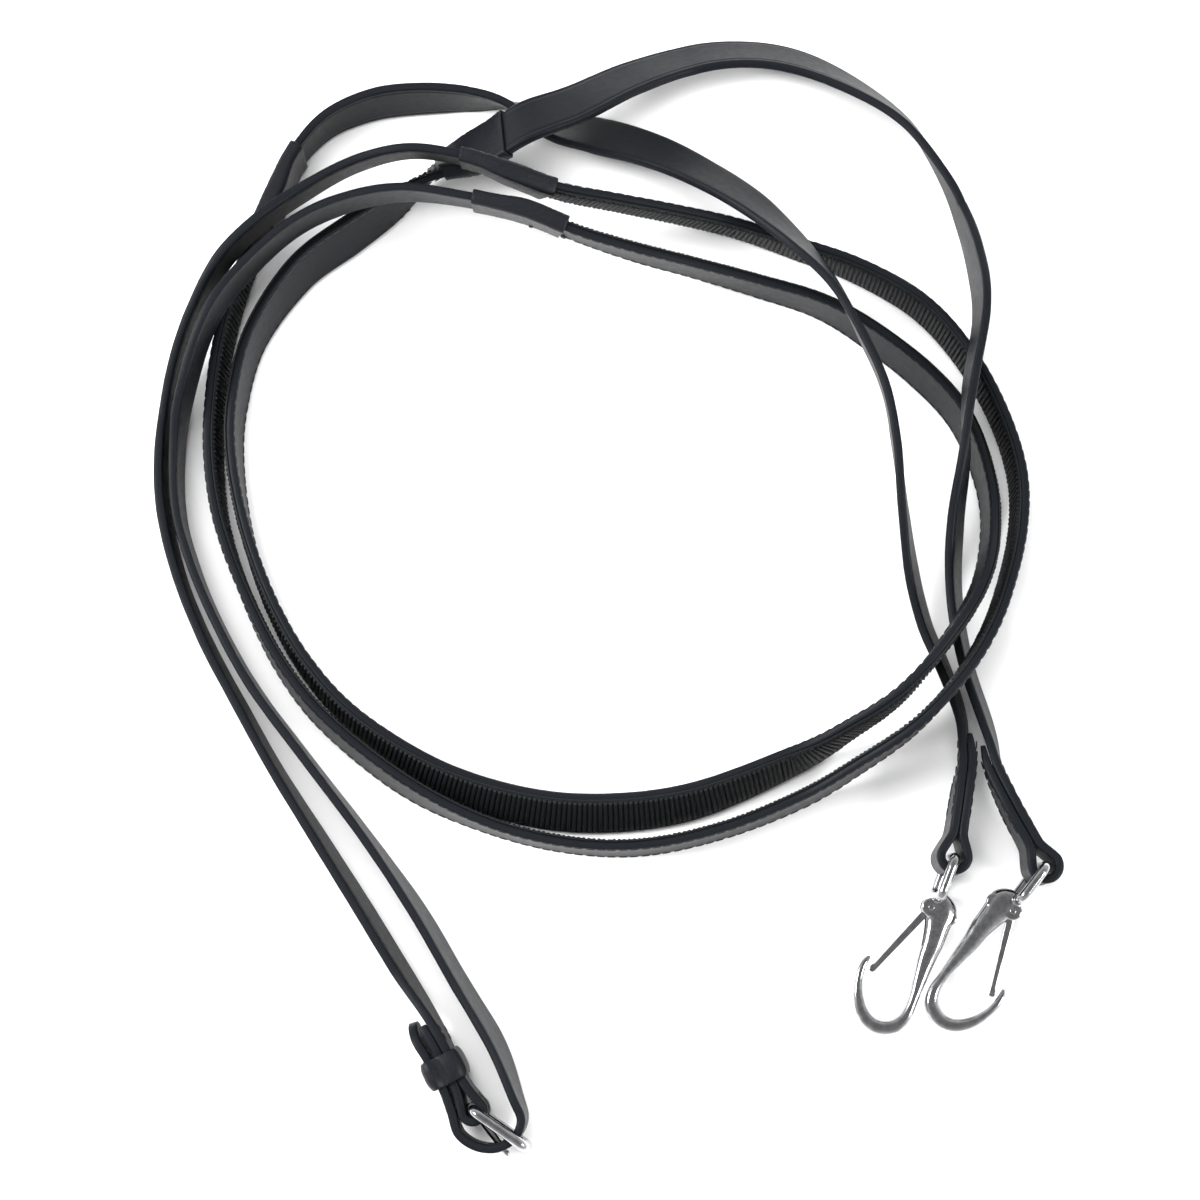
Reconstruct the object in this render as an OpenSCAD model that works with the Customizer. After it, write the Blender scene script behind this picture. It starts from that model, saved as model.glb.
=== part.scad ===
// Leather riding reins with rubber-lined grips, laid in a loose coil with every strap on edge.
// Two halves buckle together; each half ends in a sprung hook. Units are millimetres, +Z is up.
// Each half is one route from its hook to the buckle, and every layer is swept along that route.

/* [Straps] */
// width of every strap
strap_w = 16; // [15:0.5:16.5]
// thickness of the plain leather
leather_t = 2.6; // [2.2:0.1:2.7]
// thickness of the leather that backs a grip
grip_leather_t = 2.4; // [2:0.1:2.5]
// thickness of the rubber lining, ribs included
rubber_t = 1.2; // [0.8:0.1:1.3]
// thickness of the thread where it stands on the leather
thread_t = 0.3; // [0.2:0.05:0.4]

/* [Sleeves and keeper] */
// thickness of the leather wrapped round each splice
sleeve_t = 1; // [0.6:0.1:1.1]
// gap between a sleeve and what it wraps
sleeve_gap = 0.1; // [0.05:0.05:0.15]
// thickness of the keeper loop
keeper_t = 1.4; // [1:0.1:1.5]
// length of the keeper along the strap
keeper_l = 7; // [5:0.5:8]

/* [Hooks] */
// wire thickness of the hook's eye
eye_d = 3; // [2.6:0.1:3.2]
// distance between the two bars of the eye
eye_len = 12; // [11.5:0.5:12.5]
// width of the spring gate
gate_w = 2.4; // [2:0.1:2.6]
// diameter of the gate's pin
pin_d = 1.8; // [1.4:0.1:2]

/* [Buckle] */
// wire thickness of the buckle frame
frame_d = 3; // [2.6:0.1:3.2]
// distance between the hinge bar and the far bar
frame_len = 18; // [17.5:0.5:18.5]
// thickness of the buckle's prong
prong_d = 2.2; // [1.8:0.1:2.4]
// how far the prong reaches from the hinge bar
prong_l = 16.5; // [15.5:0.5:17]

/* [Hidden] */
$fn = 48;
eps = 0.01;

// A route lists [x, y, height of the lower edge, lean]; lean is in degrees, and a positive lean
// tips the upper edge to the left of the run. Both routes start at the hook.
RIGHT = [
    [125, -72, 5.1, 1], [120, -62, 5.1, 4], [116, -51, 2.5, 10], [114, -40, 0, 17], [108, -20, 0, 18],
    [105, 0, 1, 18], [105, 20, 7, 18], [107, 40, 16, 11], [109, 60, 17, -2], [113, 82, 16, -4],
    [113, 100, 8, -3], [110, 118, 0, 2], [104, 132, 0, 11], [94, 147, 0, 22], [80, 158, 0, 32],
    [62, 167, 0, 42], [45, 170, 0, 45], [27, 168, 0, 49], [9, 160, 6, 56], [-8, 149, 14, 63],
    [-23, 142, 17, 64], [-37, 136, 7, 55], [-50, 130, 3, 25], [-62, 121, 1, -8], [-76, 111, 0, -20],
    [-91, 99, 0, -17], [-104, 79, 0, -9], [-109, 58, 0, -5], [-109, 40, 0, -2], [-105, 19, 0, 3],
    [-97, -3, 0, 7], [-86, -22, 0, 10], [-71, -38, 0, 13], [-48, -53.5, 0, 24], [-24, -62, 0, 30],
    [0, -64.5, 0, 32], [27, -61, 0, 29], [56, -49.5, 0, 19], [72, -41, 6, 9], [87, -31, 15, 4],
    [100, -16, 18, -1], [110, 0, 15, -3], [115, 17, 6, -3], [115, 33, 2, -4], [109, 52, 0, -8],
    [98, 66, 0, -10], [81, 80, 0, -8], [66, 89, 0, -3], [47, 95, 1, 1], [29, 99, 5, 5],
    [11, 102, 11, 7], [-6, 106, 16, 10], [-23, 112, 19, 10], [-41, 116, 20, 9], [-59, 118, 20, 6],
    [-76, 115, 19, 4], [-91, 108, 18, 3], [-104, 96, 18, 1], [-114, 82, 19, 0], [-121, 66, 13, 0],
    [-126, 48, 3, 0], [-126, 27, 0, 0], [-121, 9, 0, 0], [-113, -9, 0, 0], [-102, -28, 0, -2],
    [-86, -49, 0, -3], [-68, -72, 0, -5], [-53, -93, 0, -10], [-41, -113, 0, -11],
    [-30, -131, 2, -12], [-24, -146, 3.5, -6], [-22, -152, 3.5, -2], [-24, -157, 3.5, 0],
    [-29, -160, 3.5, 0], [-35, -159.5, 3.5, 0], [-40, -156, 3.5, 0], [-42, -150, 3.5, 0],
    [-44.5, -143.5, 3.5, 0], [-48.5, -136, 3.5, 1], [-52, -130, 3, 3], [-53.5, -125, 3, 4]];
LEFT = [
    [102, -69, 5.1, 0], [104, -58, 5.1, 2], [106, -48, 2, 8], [106, -36, 0, 14], [101, -21, 0, 18],
    [96, -9, 1, 18], [92, 6, 5, 17], [89, 24, 12, 11], [87, 42, 16, 6], [84, 59, 17, 8],
    [77, 76, 17, 10], [69, 91, 17, 17], [58, 104, 17, 30], [44, 118, 14, 43], [28, 131, 6, 50],
    [14, 139, 2, 56], [-1, 144, 0, 58], [-14, 146, 0, 43], [-27, 153, 0, 20], [-40, 155, 0, 0],
    [-56, 155, 0, -9], [-70, 153, 0, -9], [-83, 147, 0.5, -4], [-92, 137, 1.2, 0], [-98, 125, 1.2, 0],
    [-104, 110, 1, -1], [-110, 94, 0, -3], [-114, 77, 0, -4], [-116, 59, 0, -4], [-116, 41, 0, -4],
    [-113, 21, 0, 0], [-105, -1, 0, 4], [-94, -22, 0, 7], [-80, -39, 0, 9], [-57, -57, 0, 10],
    [-34, -68, 0, 4], [-11, -74, 0, 3], [12, -75, 0, 4], [36, -70, 0, 4], [59, -61, 1, 6],
    [75, -52, 8, 5], [90, -42, 15, 2], [102, -30, 17, 0], [111, -17, 16, -2], [118, -2, 11, -2],
    [124, 18, 4, -2], [125, 36, 1, -2], [120, 55, 0, -2], [110, 74, 0, -4], [97, 89, 0, -4],
    [79, 100, 0, -2], [61, 107, 0, 2], [42, 113, 2, 6], [24, 116, 6, 8], [6, 118, 11, 9],
    [-12, 120, 16, 10], [-27, 124, 21, 11], [-41, 128, 22, 11], [-57, 130, 22, 11],
    [-73, 127, 19, 9], [-88, 119, 18, 6], [-101, 109, 19, 4], [-112, 98, 17, 2], [-120, 85, 11, 0],
    [-126, 71, 5, -1], [-130, 54, 0, -1], [-131, 36, 0, -1], [-129, 20, 0, -1], [-124, 3, 0, -1],
    [-116, -15, 0, -3], [-106, -33, 0, -4], [-95, -52, 0, -5], [-82, -72, 0, -8], [-69, -92, 0, -10],
    [-57, -111, 0, -10], [-47, -126, 3.5, -4], [-39, -141, 3.5, -1]];

// places along each route, counted in route points
R_FRONT = [20.375, 21.875];
R_REAR = [51.3, 52.8];
L_FRONT = [23.0, 24.7];
L_REAR = [55.2, 57.0];
splice_gap = 0.02;
rubber_in = 0.25;
R_END = len(RIGHT) - 1;
L_END = len(LEFT) - 1;
R_FOLD = 2.4;
L_FOLD = 2.4;
B_FOLD = L_END - 1.05;
KEEPER_AT = L_END - 0.3;

// moves both routes so that the origin is under the middle of the coil
origin_y = 7;
half_w = strap_w / 2;
thread_gap = 0.1;
fold_off = leather_t + 0.1;
loop_r = 3.9;
buckle_loop_r = 3.1;
loop_a = 9;
hook_tilt = 4;
right_dir = -128;
left_dir = -111;
buckle_dir = -34;
prong_dir = -52;

// ---- route functions ----
function cr(p, q, r, s, u) =
    0.5 * (2 * q + (r - p) * u + (2 * p - 5 * q + 4 * r - s) * u * u
    + (3 * q - p - 3 * r + s) * u * u * u);
function seg(R, s) = max(0, min(floor(s), len(R) - 2));
function before(R, i) = i > 0 ? R[i - 1] : 2 * R[0] - R[1];
function after(R, i) = i < len(R) ? R[i] : 2 * R[len(R) - 1] - R[len(R) - 2];
function row(R, s) =
    let (i = seg(R, s))
    cr(before(R, i), R[i], R[i + 1], after(R, i + 2), s - i);
// the middle of the strap, high enough for its lower corner to clear the floor
function mid(R, s) =
    let (
        a = row(R, s),
        tip = abs(sin(a[3])),
        corner = min(tip * (grip_leather_t / 2 + rubber_t), tip * leather_t / 2 + 0.4))
    [a[0], a[1] - origin_y, max(0, a[2]) + half_w * cos(a[3]) + corner];
function unit(v) = v / norm(v);
// a frame is [middle of the strap, thickness direction (to the left), width direction, run]
function at(R, s) =
    let (
        d = 0.02,
        run = unit(mid(R, min(s + d, len(R) - 1)) - mid(R, max(s - d, 0))),
        left = unit([-run[1], run[0], 0]),
        up = cross(run, left),
        a = row(R, s)[3])
    [mid(R, s), left * cos(a) - up * sin(a), up * cos(a) + left * sin(a), run];
// every layer bends at the same places along a route, so that layers which touch share their facets
function rate(s) = s < 3 || (s >= 20 && s < 24) ? 8 : 4;
function stops(a, b) =
    concat(
        [a],
        [for (i = [floor(a * 8 + eps) + 1 : ceil(b * 8 - eps) - 1])
            if (rate(i / 8) == 8 || i % 2 == 0) i / 8],
        [b]);
// the frame at s on the straight facet between the two bends next to it
function flat_at(R, s) =
    let (
        k = rate(s),
        i = floor(s * k + eps / 100),
        u = max(0, s * k - i),
        p = at(R, i / k),
        q = at(R, min((i + 1) / k, len(R) - 1)))
    [for (j = [0 : 3]) p[j] * (1 - u) + q[j] * u];
function run_of(R, a, b) = [for (s = stops(a, b)) flat_at(R, s)];
function reverse(v) = [for (i = [len(v) - 1 : -1 : 0]) v[i]];
function shift(f, b, w = 0) = [f[0] + f[1] * b + f[2] * w, f[1], f[2], f[3]];
function turned(f) = [f[0], -f[1], f[2], -f[3]];

// the turn of leather round a bar, from the fold's side to the main strap's side
function turn_pts(side, r) = concat(
    [[3, side * (fold_off + 0.3)]],
    [for (k = [4 : -1 : -4])
        [loop_a + r * cos(30 * k), side * (fold_off / 2 + r * sin(30 * k))]],
    [[3, -side * 0.3]]);
// frames of the turn beyond the strap's end f, going away along ahead
function turn_of(f, ahead, side, r) =
    let (
        q = concat([[0.5, side * fold_off]], turn_pts(side, r), [[0.5, 0]]),
        P = [for (v = q) f[0] + ahead * v[0] + f[1] * v[1]])
    [for (i = [0 : len(P) - 1])
        let (t = unit(P[min(i + 1, len(P) - 1)] - P[max(i - 1, 0)]))
        [P[i], cross(f[2], t), f[2], t]];
function bar_at(f, ahead, side) = f[0] + ahead * loop_a + f[1] * side * fold_off / 2;
function reversed(F) = [for (i = [len(F) - 1 : -1 : 0]) turned(F[i])];
// path that folds back at the start of a route: fold layer, turn, main strap
function looped_start(R, fold, stop, side) =
    let (f = at(R, 0), ahead = -f[3])
    concat(
        [for (g = reverse(run_of(R, 0, fold))) turned(shift(g, side * fold_off))],
        turn_of(f, ahead, side, loop_r),
        run_of(R, 0, stop));
function looped_end(R, start, fold, side) =
    let (e = len(R) - 1, f = at(R, e))
    concat(
        run_of(R, start, e),
        reversed(turn_of(f, f[3], side, buckle_loop_r)),
        [for (g = reverse(run_of(R, fold, e))) turned(shift(g, side * fold_off))]);

// ---- solids ----
// the two triangles from edge a-b to the next ring; both wide faces are cut the same way, so that
// the facets of two layers that lie together match
function quad(a, b, m, j) =
    j == 1 ? [[a, a + m, b + m], [a, b + m, b]] : [[a, a + m, b], [b, a + m, b + m]];
function flipped(T) = [for (t = T) [t[2], t[1], t[0]]];

// a strap through frames F, from b0 to b1 in thickness and w0 to w1 in width
module strap(F, b0, b1, w0, w1, tip = 0) {
    n = len(F);
    ends = [for (i = [0 : n - 1]) norm(F[i][0] - F[n - 1][0])];
    scale_w = [for (e = ends) e < tip ? 0.12 + 0.88 * sqrt(1 - pow(1 - e / tip, 2)) : 1];
    pts = [for (i = [0 : n - 1])
        let (f = F[i], k = scale_w[i])
        each [f[0] + f[1] * b0 + f[2] * w0 * k, f[0] + f[1] * b1 + f[2] * w0 * k,
            f[0] + f[1] * b1 + f[2] * w1 * k, f[0] + f[1] * b0 + f[2] * w1 * k]];
    sides = [for (i = [0 : n - 2], j = [0 : 3]) each quad(4 * i + j, 4 * i + (j + 1) % 4, 4, j)];
    z = 4 * (n - 1);
    polyhedron(pts, concat([[0, 1, 2], [0, 2, 3], [z + 2, z + 1, z], [z + 3, z + 2, z]], sides));
}

// a closed tube of leather, open at both ends, round the box b0..b1 by -w..w
module wrap(F, b0, b1, w, t) {
    n = len(F);
    pts = [for (f = F, k = [0, 1])
        let (g = k * t)
        each [f[0] + f[1] * (b0 - g) - f[2] * (w + g), f[0] + f[1] * (b1 + g) - f[2] * (w + g),
            f[0] + f[1] * (b1 + g) + f[2] * (w + g), f[0] + f[1] * (b0 - g) + f[2] * (w + g)]];
    outer = [for (i = [0 : n - 2], j = [0 : 3])
        each quad(8 * i + 4 + j, 8 * i + 4 + (j + 1) % 4, 8, j)];
    inner = [for (i = [0 : n - 2], j = [0 : 3])
        each flipped(quad(8 * i + j, 8 * i + (j + 1) % 4, 8, j))];
    z = 8 * (n - 1);
    rims = [for (j = [0 : 3])
        let (k = (j + 1) % 4)
        each [[j, 4 + j, k], [k, 4 + j, 4 + k], [z + k, z + 4 + j, z + j],
            [z + 4 + k, z + 4 + j, z + k]]];
    polyhedron(pts, concat(outer, inner, rims));
}

// puts children in frame f: x along the run, y to the left, z across the width
module in_frame(f) {
    p = f[0];
    multmatrix([
        [f[3][0], f[1][0], f[2][0], p[0]],
        [f[3][1], f[1][1], f[2][1], p[1]],
        [f[3][2], f[1][2], f[2][2], p[2]]])
        children();
}

// two rows of short stitches standing on the face at b, along route R from s0 to s1
module stitches(R, s0, s1, count, b, up) {
    for (i = [0 : count - 1], w = [-1, 1])
        in_frame(flat_at(R, s0 + (s1 - s0) * i / (count - 1)))
            translate([0, b + up * (thread_t / 2 + thread_gap), w * (half_w - 2)])
                cube([1.9, thread_t, 0.6], center = true);
}

// two lines of thread along a grip's leather face, which lies at b
module thread_lines(R, s0, s1, b, up) {
    F = run_of(R, s0, s1);
    lo = up > 0 ? b + thread_gap : b - thread_t - thread_gap;
    for (w = [-half_w + 1.7, half_w - 2.2])
        strap(F, lo, lo + thread_t, w, w + 0.5);
}

// ---- right half ----
module right_bit_strap() {
    color("#17181b")
        strap(looped_start(RIGHT, R_FOLD, 21.45, 1), -leather_t / 2, leather_t / 2, -half_w, half_w);
}

module right_hook_stitching() {
    color("#0c0c0e") {
        stitches(RIGHT, 0.35, R_FOLD - 0.6, 6, leather_t / 2 + fold_off, 1);
        stitches(RIGHT, 0.35, R_FOLD - 0.6, 6, -leather_t / 2, -1);
    }
}

module right_front_sleeve() {
    g = sleeve_gap;
    color("#1b1b1f")
        wrap(run_of(RIGHT, R_FRONT[0], R_FRONT[1]),
            -grip_leather_t / 2 - rubber_t - g, leather_t / 2 + g, half_w + g, sleeve_t);
}

module right_grip_strap() {
    color("#141518")
        strap(run_of(RIGHT, 21.45 + splice_gap, 51.9), -grip_leather_t / 2, grip_leather_t / 2,
            -half_w, half_w);
}

module right_grip_rubber() {
    color("#0e0f10")
        strap(run_of(RIGHT, R_FRONT[1] - rubber_in, R_REAR[0] + rubber_in),
            -grip_leather_t / 2 - rubber_t, -grip_leather_t / 2, -half_w, half_w);
}

module right_grip_stitching() {
    color("#08080a")
        thread_lines(RIGHT, R_FRONT[1] + 0.05, R_REAR[0] - 0.05, grip_leather_t / 2, 1);
}

module right_rear_sleeve() {
    g = sleeve_gap;
    color("#1b1b1f")
        wrap(run_of(RIGHT, R_REAR[0], R_REAR[1]),
            -grip_leather_t / 2 - rubber_t - g, leather_t / 2 + g, half_w + g, sleeve_t);
}

// the billet end: it runs through the buckle and back, with punched holes and a rounded tip
module right_hand_strap() {
    color("#17181b")
        difference() {
            strap(run_of(RIGHT, 51.9 + splice_gap, R_END), -leather_t / 2, leather_t / 2, -half_w, half_w, 8);
            for (s = [67.2, 68.1, 69.2])
                in_frame(at(RIGHT, s))
                    rotate([90, 0, 0])
                        cylinder(h = 8, d = 3.4, center = true, $fn = 24);
            translate(hinge_pos)
                rotate([0, 0, prong_dir])
                    translate([8, -2.6, -1.8])
                        cube([12, 5.2, 3.6]);
        }
}

// ---- left half ----
module left_bit_strap() {
    color("#17181b")
        strap(looped_start(LEFT, L_FOLD, 23.8, -1), -leather_t / 2, leather_t / 2, -half_w, half_w);
}

module left_hook_stitching() {
    color("#0c0c0e") {
        stitches(LEFT, 0.35, L_FOLD - 0.6, 6, -leather_t / 2 - fold_off, -1);
        stitches(LEFT, 0.35, L_FOLD - 0.6, 6, leather_t / 2, 1);
    }
}

module left_front_sleeve() {
    g = sleeve_gap;
    color("#1b1b1f")
        wrap(run_of(LEFT, L_FRONT[0], L_FRONT[1]),
            -leather_t / 2 - g, grip_leather_t / 2 + rubber_t + g, half_w + g, sleeve_t);
}

module left_grip_strap() {
    color("#141518")
        strap(run_of(LEFT, 23.8 + splice_gap, 56.0), -grip_leather_t / 2, grip_leather_t / 2,
            -half_w, half_w);
}

module left_grip_rubber() {
    color("#0e0f10")
        strap(run_of(LEFT, L_FRONT[1] - rubber_in, L_REAR[0] + rubber_in),
            grip_leather_t / 2, grip_leather_t / 2 + rubber_t, -half_w, half_w);
}

module left_grip_stitching() {
    color("#08080a")
        thread_lines(LEFT, L_FRONT[1] + 0.05, L_REAR[0] - 0.05, -grip_leather_t / 2, -1);
}

module left_rear_sleeve() {
    g = sleeve_gap;
    color("#1b1b1f")
        wrap(run_of(LEFT, L_REAR[0], L_REAR[1]),
            -leather_t / 2 - g, grip_leather_t / 2 + rubber_t + g, half_w + g, sleeve_t);
}

// the buckle end: folded round the hinge bar, with a slot for the prong
module left_hand_strap() {
    color("#17181b")
        difference() {
            strap(looped_end(LEFT, 56.0 + splice_gap, B_FOLD, -1), -leather_t / 2, leather_t / 2,
                -half_w, half_w);
            translate(hinge_pos)
                rotate([0, 0, prong_dir])
                    translate([-3, -4.5, -2.1])
                        cube([11, 9, 4.2]);
        }
}

// ---- buckle ----
hinge_pos = bar_at(at(LEFT, L_END), at(LEFT, L_END)[3], -1);

module buckle_stitching() {
    color("#0c0c0e") {
        stitches(LEFT, L_END - 0.98, L_END - 0.6, 3, -leather_t / 2 - fold_off, -1);
        stitches(LEFT, L_END - 0.98, L_END - 0.6, 3, leather_t / 2, 1);
    }
}

module buckle_keeper() {
    f = at(LEFT, KEEPER_AT);
    ahead = keeper_l / 2;
    F = [for (k = [-1, 1]) [f[0] + f[3] * ahead * k, f[1], f[2], f[3]]];
    color("#1b1b1f")
        wrap(F, -leather_t / 2 - 2 * fold_off - 1.2, leather_t / 2 + 0.15, half_w + 0.5, keeper_t);
}

module buckle_frame() {
    r = frame_d / 2;
    h = half_w + 0.4 + r;
    color("#c9c9cc")
        translate(hinge_pos)
            rotate([0, 0, buckle_dir]) {
                for (x = [0, frame_len]) {
                    translate([x, 0, -h])
                        cylinder(h = 2 * h, r = r);
                }
                for (z = [-h, h]) {
                    translate([0, 0, z])
                        rotate([0, 90, 0])
                            cylinder(h = frame_len, r = r);
                    for (x = [0, frame_len]) {
                        translate([x, 0, z])
                            sphere(r = r);
                    }
                }
            }
}

module buckle_prong() {
    r = frame_d / 2;
    color("#c9c9cc")
        translate(hinge_pos)
            rotate([0, 0, prong_dir])
                difference() {
                    union() {
                        translate([0, 0, -prong_d / 2])
                            cylinder(h = prong_d, r = r + 0.9);
                        translate([r + 0.4, 0, 0])
                            rotate([0, 90, 0])
                                cylinder(h = prong_l - r - 0.4 - prong_d / 2, d = prong_d);
                        translate([prong_l - prong_d / 2, 0, 0])
                            sphere(d = prong_d);
                    }
                    translate([0, 0, -prong_d])
                        cylinder(h = 2 * prong_d, r = r + 0.05);
                }
}

// ---- hooks, drawn with the eye's bar at the origin, +x along the hook and +y to the gate ----
right_eye = bar_at(at(RIGHT, 0), -at(RIGHT, 0)[3], 1);
left_eye = bar_at(at(LEFT, 0), -at(LEFT, 0)[3], -1);
gate_pivot = [15.5, 0.8, 0];
gate_len = 25.4;
gate_dir = 23;
// the hook's curl: [x, y, half width, half thickness]
CURL = [
    [11, -1, 2, 2.6], [13, -1.6, 3.9, 3.1], [16, -2.4, 4.8, 3.2], [20, -2.9, 3.8, 3],
    [25, -3.3, 3.2, 2.7], [30, -3.2, 2.7, 2.4], [36, -3.4, 2.1, 2.2], [42, -3.6, 1.6, 2.2],
    [47, -3.3, 1.8, 2.2], [50.5, -1.8, 2.1, 2.2], [52.4, 0.8, 2.2, 2.2], [53, 3.8, 2.2, 2.2],
    [52.2, 6.8, 2.1, 2.2], [50, 9.4, 1.9, 2], [46.5, 11.6, 1.6, 1.9], [42.5, 12.9, 1.3, 1.7],
    [39, 13.3, 1.2, 1.5], [36.6, 13, 1, 1.3], [34.8, 12.3, 0.5, 0.8]];

module place_hook(pos, dir, side) {
    translate(pos)
        rotate([0, 0, dir])
            rotate([0, hook_tilt, 0])
                mirror([0, side < 0 ? 1 : 0, 0])
                    children();
}

module curl() {
    m = 12;
    n = len(CURL);
    function dir_at(i) =
        let (a = CURL[max(i - 1, 0)], b = CURL[min(i + 1, n - 1)])
        unit([b[0] - a[0], b[1] - a[1], 0]);
    pts = [for (i = [0 : n - 1], j = [0 : m - 1])
        let (c = CURL[i], t = dir_at(i), q = 360 * j / m)
        [c[0] - t[1] * c[2] * cos(q), c[1] + t[0] * c[2] * cos(q), c[3] * sin(q)]];
    sides = [for (i = [0 : n - 2], j = [0 : m - 1])
        let (a = m * i + j, b = m * i + (j + 1) % m)
        each [[a, a + m, b], [b, a + m, b + m]]];
    first = [for (j = [1 : m - 2]) [0, j, j + 1]];
    z = m * (n - 1);
    last = [for (j = [1 : m - 2]) [z, z + j + 1, z + j]];
    polyhedron(pts, concat(sides, first, last));
}

module hook_body() {
    r = eye_d / 2;
    h = half_w + 1.1 + r;
    difference() {
        union() {
            for (x = [0, eye_len], z = [-h, h]) {
                translate([x, 0, z])
                    sphere(r = r);
            }
            for (x = [0, eye_len]) {
                translate([x, 0, -h])
                    cylinder(h = 2 * h, r = r);
            }
            for (z = [-h, h]) {
                translate([0, 0, z])
                    rotate([0, 90, 0])
                        cylinder(h = eye_len, r = r);
            }
            curl();
            translate([gate_pivot[0], gate_pivot[1], -3.1])
                cylinder(h = 6.2, r = 2.8);
            translate([16.5, -5, -2.4])
                cylinder(h = 4.8, r = 2.4);
        }
        // slot for the gate
        translate([13.6, -2.2, -gate_w / 2 - 0.15])
            cube([13, 8, gate_w + 0.3]);
        translate([gate_pivot[0], gate_pivot[1], -5])
            cylinder(h = 10, d = pin_d, $fn = 32);
    }
}

module hook_pin() {
    translate([gate_pivot[0], gate_pivot[1], -3.1])
        cylinder(h = 6.2, d = pin_d, $fn = 32);
}

module hook_gate() {
    translate(gate_pivot)
        rotate([0, 0, gate_dir])
            difference() {
                union() {
                    translate([0, 0, -gate_w / 2])
                        cylinder(h = gate_w, r = 1.7);
                    translate([0, -1.1, -gate_w / 2])
                        cube([gate_len - 1.1, 2.2, gate_w]);
                    translate([gate_len - 1.1, 0, -gate_w / 2])
                        cylinder(h = gate_w, r = 1.1);
                }
                translate([0, 0, -gate_w])
                    cylinder(h = 2 * gate_w, d = pin_d + 0.1, $fn = 32);
            }
}

// leaf spring on the floor of the gate's slot
module hook_spring() {
    translate([17.6, -2.2, -gate_w / 2 + 0.2])
        cube([8, 0.4, gate_w - 0.4]);
}

module right_hook_body() { color("#d2d2d6") place_hook(right_eye, right_dir, 1) hook_body(); }
module right_hook_pin() { color("#c4c4c8") place_hook(right_eye, right_dir, 1) hook_pin(); }
module right_hook_spring() { color("#b8b8bc") place_hook(right_eye, right_dir, 1) hook_spring(); }
module right_hook_gate() { color("#d2d2d6") place_hook(right_eye, right_dir, 1) hook_gate(); }
module left_hook_body() { color("#d2d2d6") place_hook(left_eye, left_dir, -1) hook_body(); }
module left_hook_pin() { color("#c4c4c8") place_hook(left_eye, left_dir, -1) hook_pin(); }
module left_hook_spring() { color("#b8b8bc") place_hook(left_eye, left_dir, -1) hook_spring(); }
module left_hook_gate() { color("#d2d2d6") place_hook(left_eye, left_dir, -1) hook_gate(); }

right_bit_strap();
right_hook_stitching();
right_front_sleeve();
right_grip_strap();
right_grip_rubber();
right_grip_stitching();
right_rear_sleeve();
right_hand_strap();
left_bit_strap();
left_hook_stitching();
left_front_sleeve();
left_grip_strap();
left_grip_rubber();
left_grip_stitching();
left_rear_sleeve();
left_hand_strap();
buckle_stitching();
buckle_keeper();
buckle_frame();
buckle_prong();
right_hook_body();
right_hook_pin();
right_hook_spring();
right_hook_gate();
left_hook_body();
left_hook_pin();
left_hook_spring();
left_hook_gate();
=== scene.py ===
"""Leather riding reins with rubber-lined grips, laid in a loose coil on a white floor.

Both halves are swept along the same two routes as the CAD part. Everything is in metres.
"""

import math

import bmesh
import bpy
import numpy as np
from mathutils import Matrix, Vector


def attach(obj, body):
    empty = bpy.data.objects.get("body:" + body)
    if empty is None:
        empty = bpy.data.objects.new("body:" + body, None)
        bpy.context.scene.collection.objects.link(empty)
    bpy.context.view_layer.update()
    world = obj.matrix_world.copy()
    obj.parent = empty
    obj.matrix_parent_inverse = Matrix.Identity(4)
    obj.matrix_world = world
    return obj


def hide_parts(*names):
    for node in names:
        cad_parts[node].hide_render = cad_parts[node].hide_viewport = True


MM = 0.001

# ---- driving dimensions ----
# straps: half width and half thicknesses, then the rubber, its solid part and its ribs
HALF_W = 0.008
PLAIN_T = 0.0013
GRIP_T = 0.0012
RUBBER_T = 0.0012
RUBBER_BASE = 0.0005
RIB_PITCH = 0.0015
RIB_HALF_W = 0.0066
# from a strap's middle to the middle of the layer folded back on it
FOLD_OFF = 0.0027
# radius of the leather's turn round a hook's eye and round the hinge bar, and where the bar lies
LOOP_R = 0.0039
BUCKLE_LOOP_R = 0.0031
LOOP_A = 0.009
# sleeves and keeper: walls, the gap to the strap, and the points in a cross-section
SLEEVE_T = 0.001
SLEEVE_GAP = 0.0001
SLEEVE_POINTS = 56
KEEPER_T = 0.0014
KEEPER_HALF_L = 0.004
KEEPER_POINTS = 120
# stitches: thread radius, how far they stand on the leather, the rows' places across the strap
STITCH_R = 0.00027
STITCH_LIFT = 0.00004
LINING_ROW = 0.00695
END_ROW = 0.006
# hooks and buckle
EYE_D = 0.003
EYE_LEN = 0.012
BAR_H = HALF_W + 0.0004 + EYE_D / 2
EYE_H = HALF_W + 0.0011 + EYE_D / 2
HOOK_TILT = 4
FRAME_LEN = 0.018
PRONG_LEN = 0.0165
PRONG_D = 0.0022
# a tool that cuts a hole reaches this far both ways
TOOL_REACH = 0.003
# the longest straight piece in a rounded outline
OUTLINE_STEP = 0.0012
# the camera looks at the coil's middle from this far and this many degrees above the floor
CAMERA_LENS = 75
CAMERA_DISTANCE = 0.75
CAMERA_TILT = 80
ORIGIN_Y = 0.007

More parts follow.
